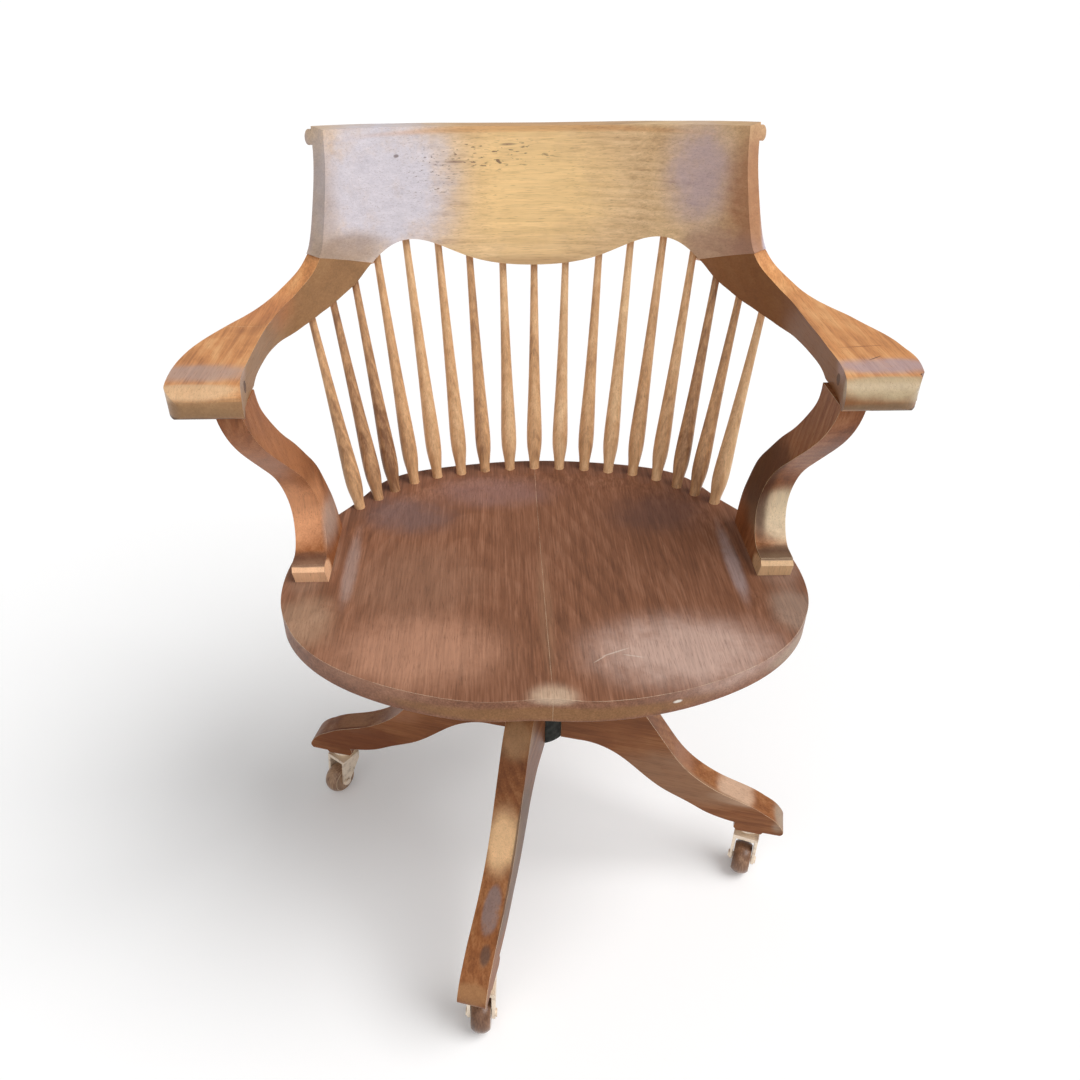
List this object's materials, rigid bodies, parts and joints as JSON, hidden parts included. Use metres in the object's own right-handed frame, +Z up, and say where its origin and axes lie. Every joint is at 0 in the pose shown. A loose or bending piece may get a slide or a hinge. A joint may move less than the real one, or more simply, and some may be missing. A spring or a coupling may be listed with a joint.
{
  "type": "swivel armchair",
  "caption": "Varnished wooden bankers swivel chair with a saddled seat, spindle back, scrolled arms and a sawn four-leg base on castors.",
  "frame": {"origin": "on the floor under the hub's axis", "axes": "+Z up along the swivel axis; the front of the seat faces -Y; +X is the right in a front view"},
  "size_m": [0.6725, 0.6304, 0.8502],
  "materials": {
    "seat_wood": "varnished dark brown, worn",
    "spindle_wood": "varnished tan and dark brown",
    "crest_wood": "varnished golden brown, nicked",
    "arm_wood": "varnished orange brown, worn",
    "support_wood": "varnished orange brown",
    "leg_wood": "varnished red brown, worn tops",
    "dowel_wood": "bare or varnished wood",
    "wheel_wood": "glossy dark brown",
    "brass": "dull, worn",
    "iron": "green-black",
    "steel": "dull"
  },
  "bodies": {
    "base": {"hub_casting": "iron", "leg_1": "leg_wood", "leg_2": "leg_wood", "leg_3": "leg_wood", "leg_4": "leg_wood", "leg_screws": "steel", "height_key": "steel", "thrust_washer": "steel", "castor_plate_1": "brass", "castor_plate_2": "brass", "castor_plate_3": "brass", "castor_plate_4": "brass", "castor_pivots": "steel"},
    "hand_nut": {"hand_nut": "iron"},
    "height_screw": {"height_screw": "steel", "swivel_washer": "steel", "retaining_screw": "steel"},
    "seat": {"seat_board_left": "seat_wood", "seat_board_right": "seat_wood", "seat_dowels": "dowel_wood", "spindle_01": "spindle_wood", "spindle_02": "spindle_wood", "spindle_03": "spindle_wood", "spindle_04": "spindle_wood", "spindle_05": "spindle_wood", "spindle_06": "spindle_wood", "spindle_07": "spindle_wood", "spindle_08": "spindle_wood", "spindle_09": "spindle_wood", "spindle_10": "spindle_wood", "spindle_11": "spindle_wood", "spindle_12": "spindle_wood", "spindle_13": "spindle_wood", "spindle_14": "spindle_wood", "spindle_15": "spindle_wood", "spindle_16": "spindle_wood", "spindle_17": "spindle_wood", "crest_rail": "crest_wood", "crest_dowels": "dowel_wood", "arm_right": "arm_wood", "arm_left": "arm_wood", "arm_plugs": "dowel_wood", "arm_dowels": "dowel_wood", "arm_support_right": "support_wood", "arm_support_left": "support_wood", "support_screws": "steel", "seat_bracket": "iron", "seat_screws": "steel"},
    "castor_1": {"castor_horn_1": "brass", "castor_axle_1": "steel"},
    "wheel_1": {"castor_wheel_1": "wheel_wood"},
    "castor_2": {"castor_horn_2": "brass", "castor_axle_2": "steel"},
    "wheel_2": {"castor_wheel_2": "wheel_wood"},
    "castor_3": {"castor_horn_3": "brass", "castor_axle_3": "steel"},
    "wheel_3": {"castor_wheel_3": "wheel_wood"},
    "castor_4": {"castor_horn_4": "brass", "castor_axle_4": "steel"},
    "wheel_4": {"castor_wheel_4": "wheel_wood"}
  },
  "joints": [
    {"name": "nut_turn", "type": "hinge", "parent": "base", "child": "hand_nut", "pos_m": [0, 0, 0.322], "axis": [0, 0, 1], "range_deg": [0, 2700]},
    {"name": "height", "type": "slide", "parent": "base", "child": "height_screw", "axis": [0, 0, 1], "range_m": [0, 0.06]},
    {"name": "seat_turn", "type": "hinge", "parent": "height_screw", "child": "seat", "pos_m": [0, 0, 0.38], "axis": [0, 0, 1], "continuous": true},
    {"name": "castor_1_swivel", "type": "hinge", "parent": "base", "child": "castor_1", "pos_m": [0.27143, -0.07273, 0.06], "axis": [0, 0, 1], "continuous": true},
    {"name": "wheel_1_roll", "type": "hinge", "parent": "castor_1", "child": "wheel_1", "pos_m": [0.26581, -0.08664, 0.022], "axis": [0.9272, -0.3746, 0], "continuous": true},
    {"name": "castor_2_swivel", "type": "hinge", "parent": "base", "child": "castor_2", "pos_m": [0.07273, 0.27143, 0.06], "axis": [0, 0, 1], "continuous": true},
    {"name": "wheel_2_roll", "type": "hinge", "parent": "castor_2", "child": "wheel_2", "pos_m": [0.08682, 0.27655, 0.022], "axis": [-0.342, 0.9397, 0], "continuous": true},
    {"name": "castor_3_swivel", "type": "hinge", "parent": "base", "child": "castor_3", "pos_m": [-0.27143, 0.07273, 0.06], "axis": [0, 0, 1], "continuous": true},
    {"name": "wheel_3_roll", "type": "hinge", "parent": "castor_3", "child": "wheel_3", "pos_m": [-0.28066, 0.06091, 0.022], "axis": [0.788, -0.6157, 0], "continuous": true},
    {"name": "castor_4_swivel", "type": "hinge", "parent": "base", "child": "castor_4", "pos_m": [-0.07273, -0.27143, 0.06], "axis": [0, 0, 1], "continuous": true},
    {"name": "wheel_4_roll", "type": "hinge", "parent": "castor_4", "child": "wheel_4", "pos_m": [-0.07377, -0.28639, 0.022], "axis": [0.9976, -0.0698, 0], "continuous": true}
  ],
  "couplings": [
    {"joint": "nut_turn", "follows": "height", "rad_per_m": 785.39}
  ]
}
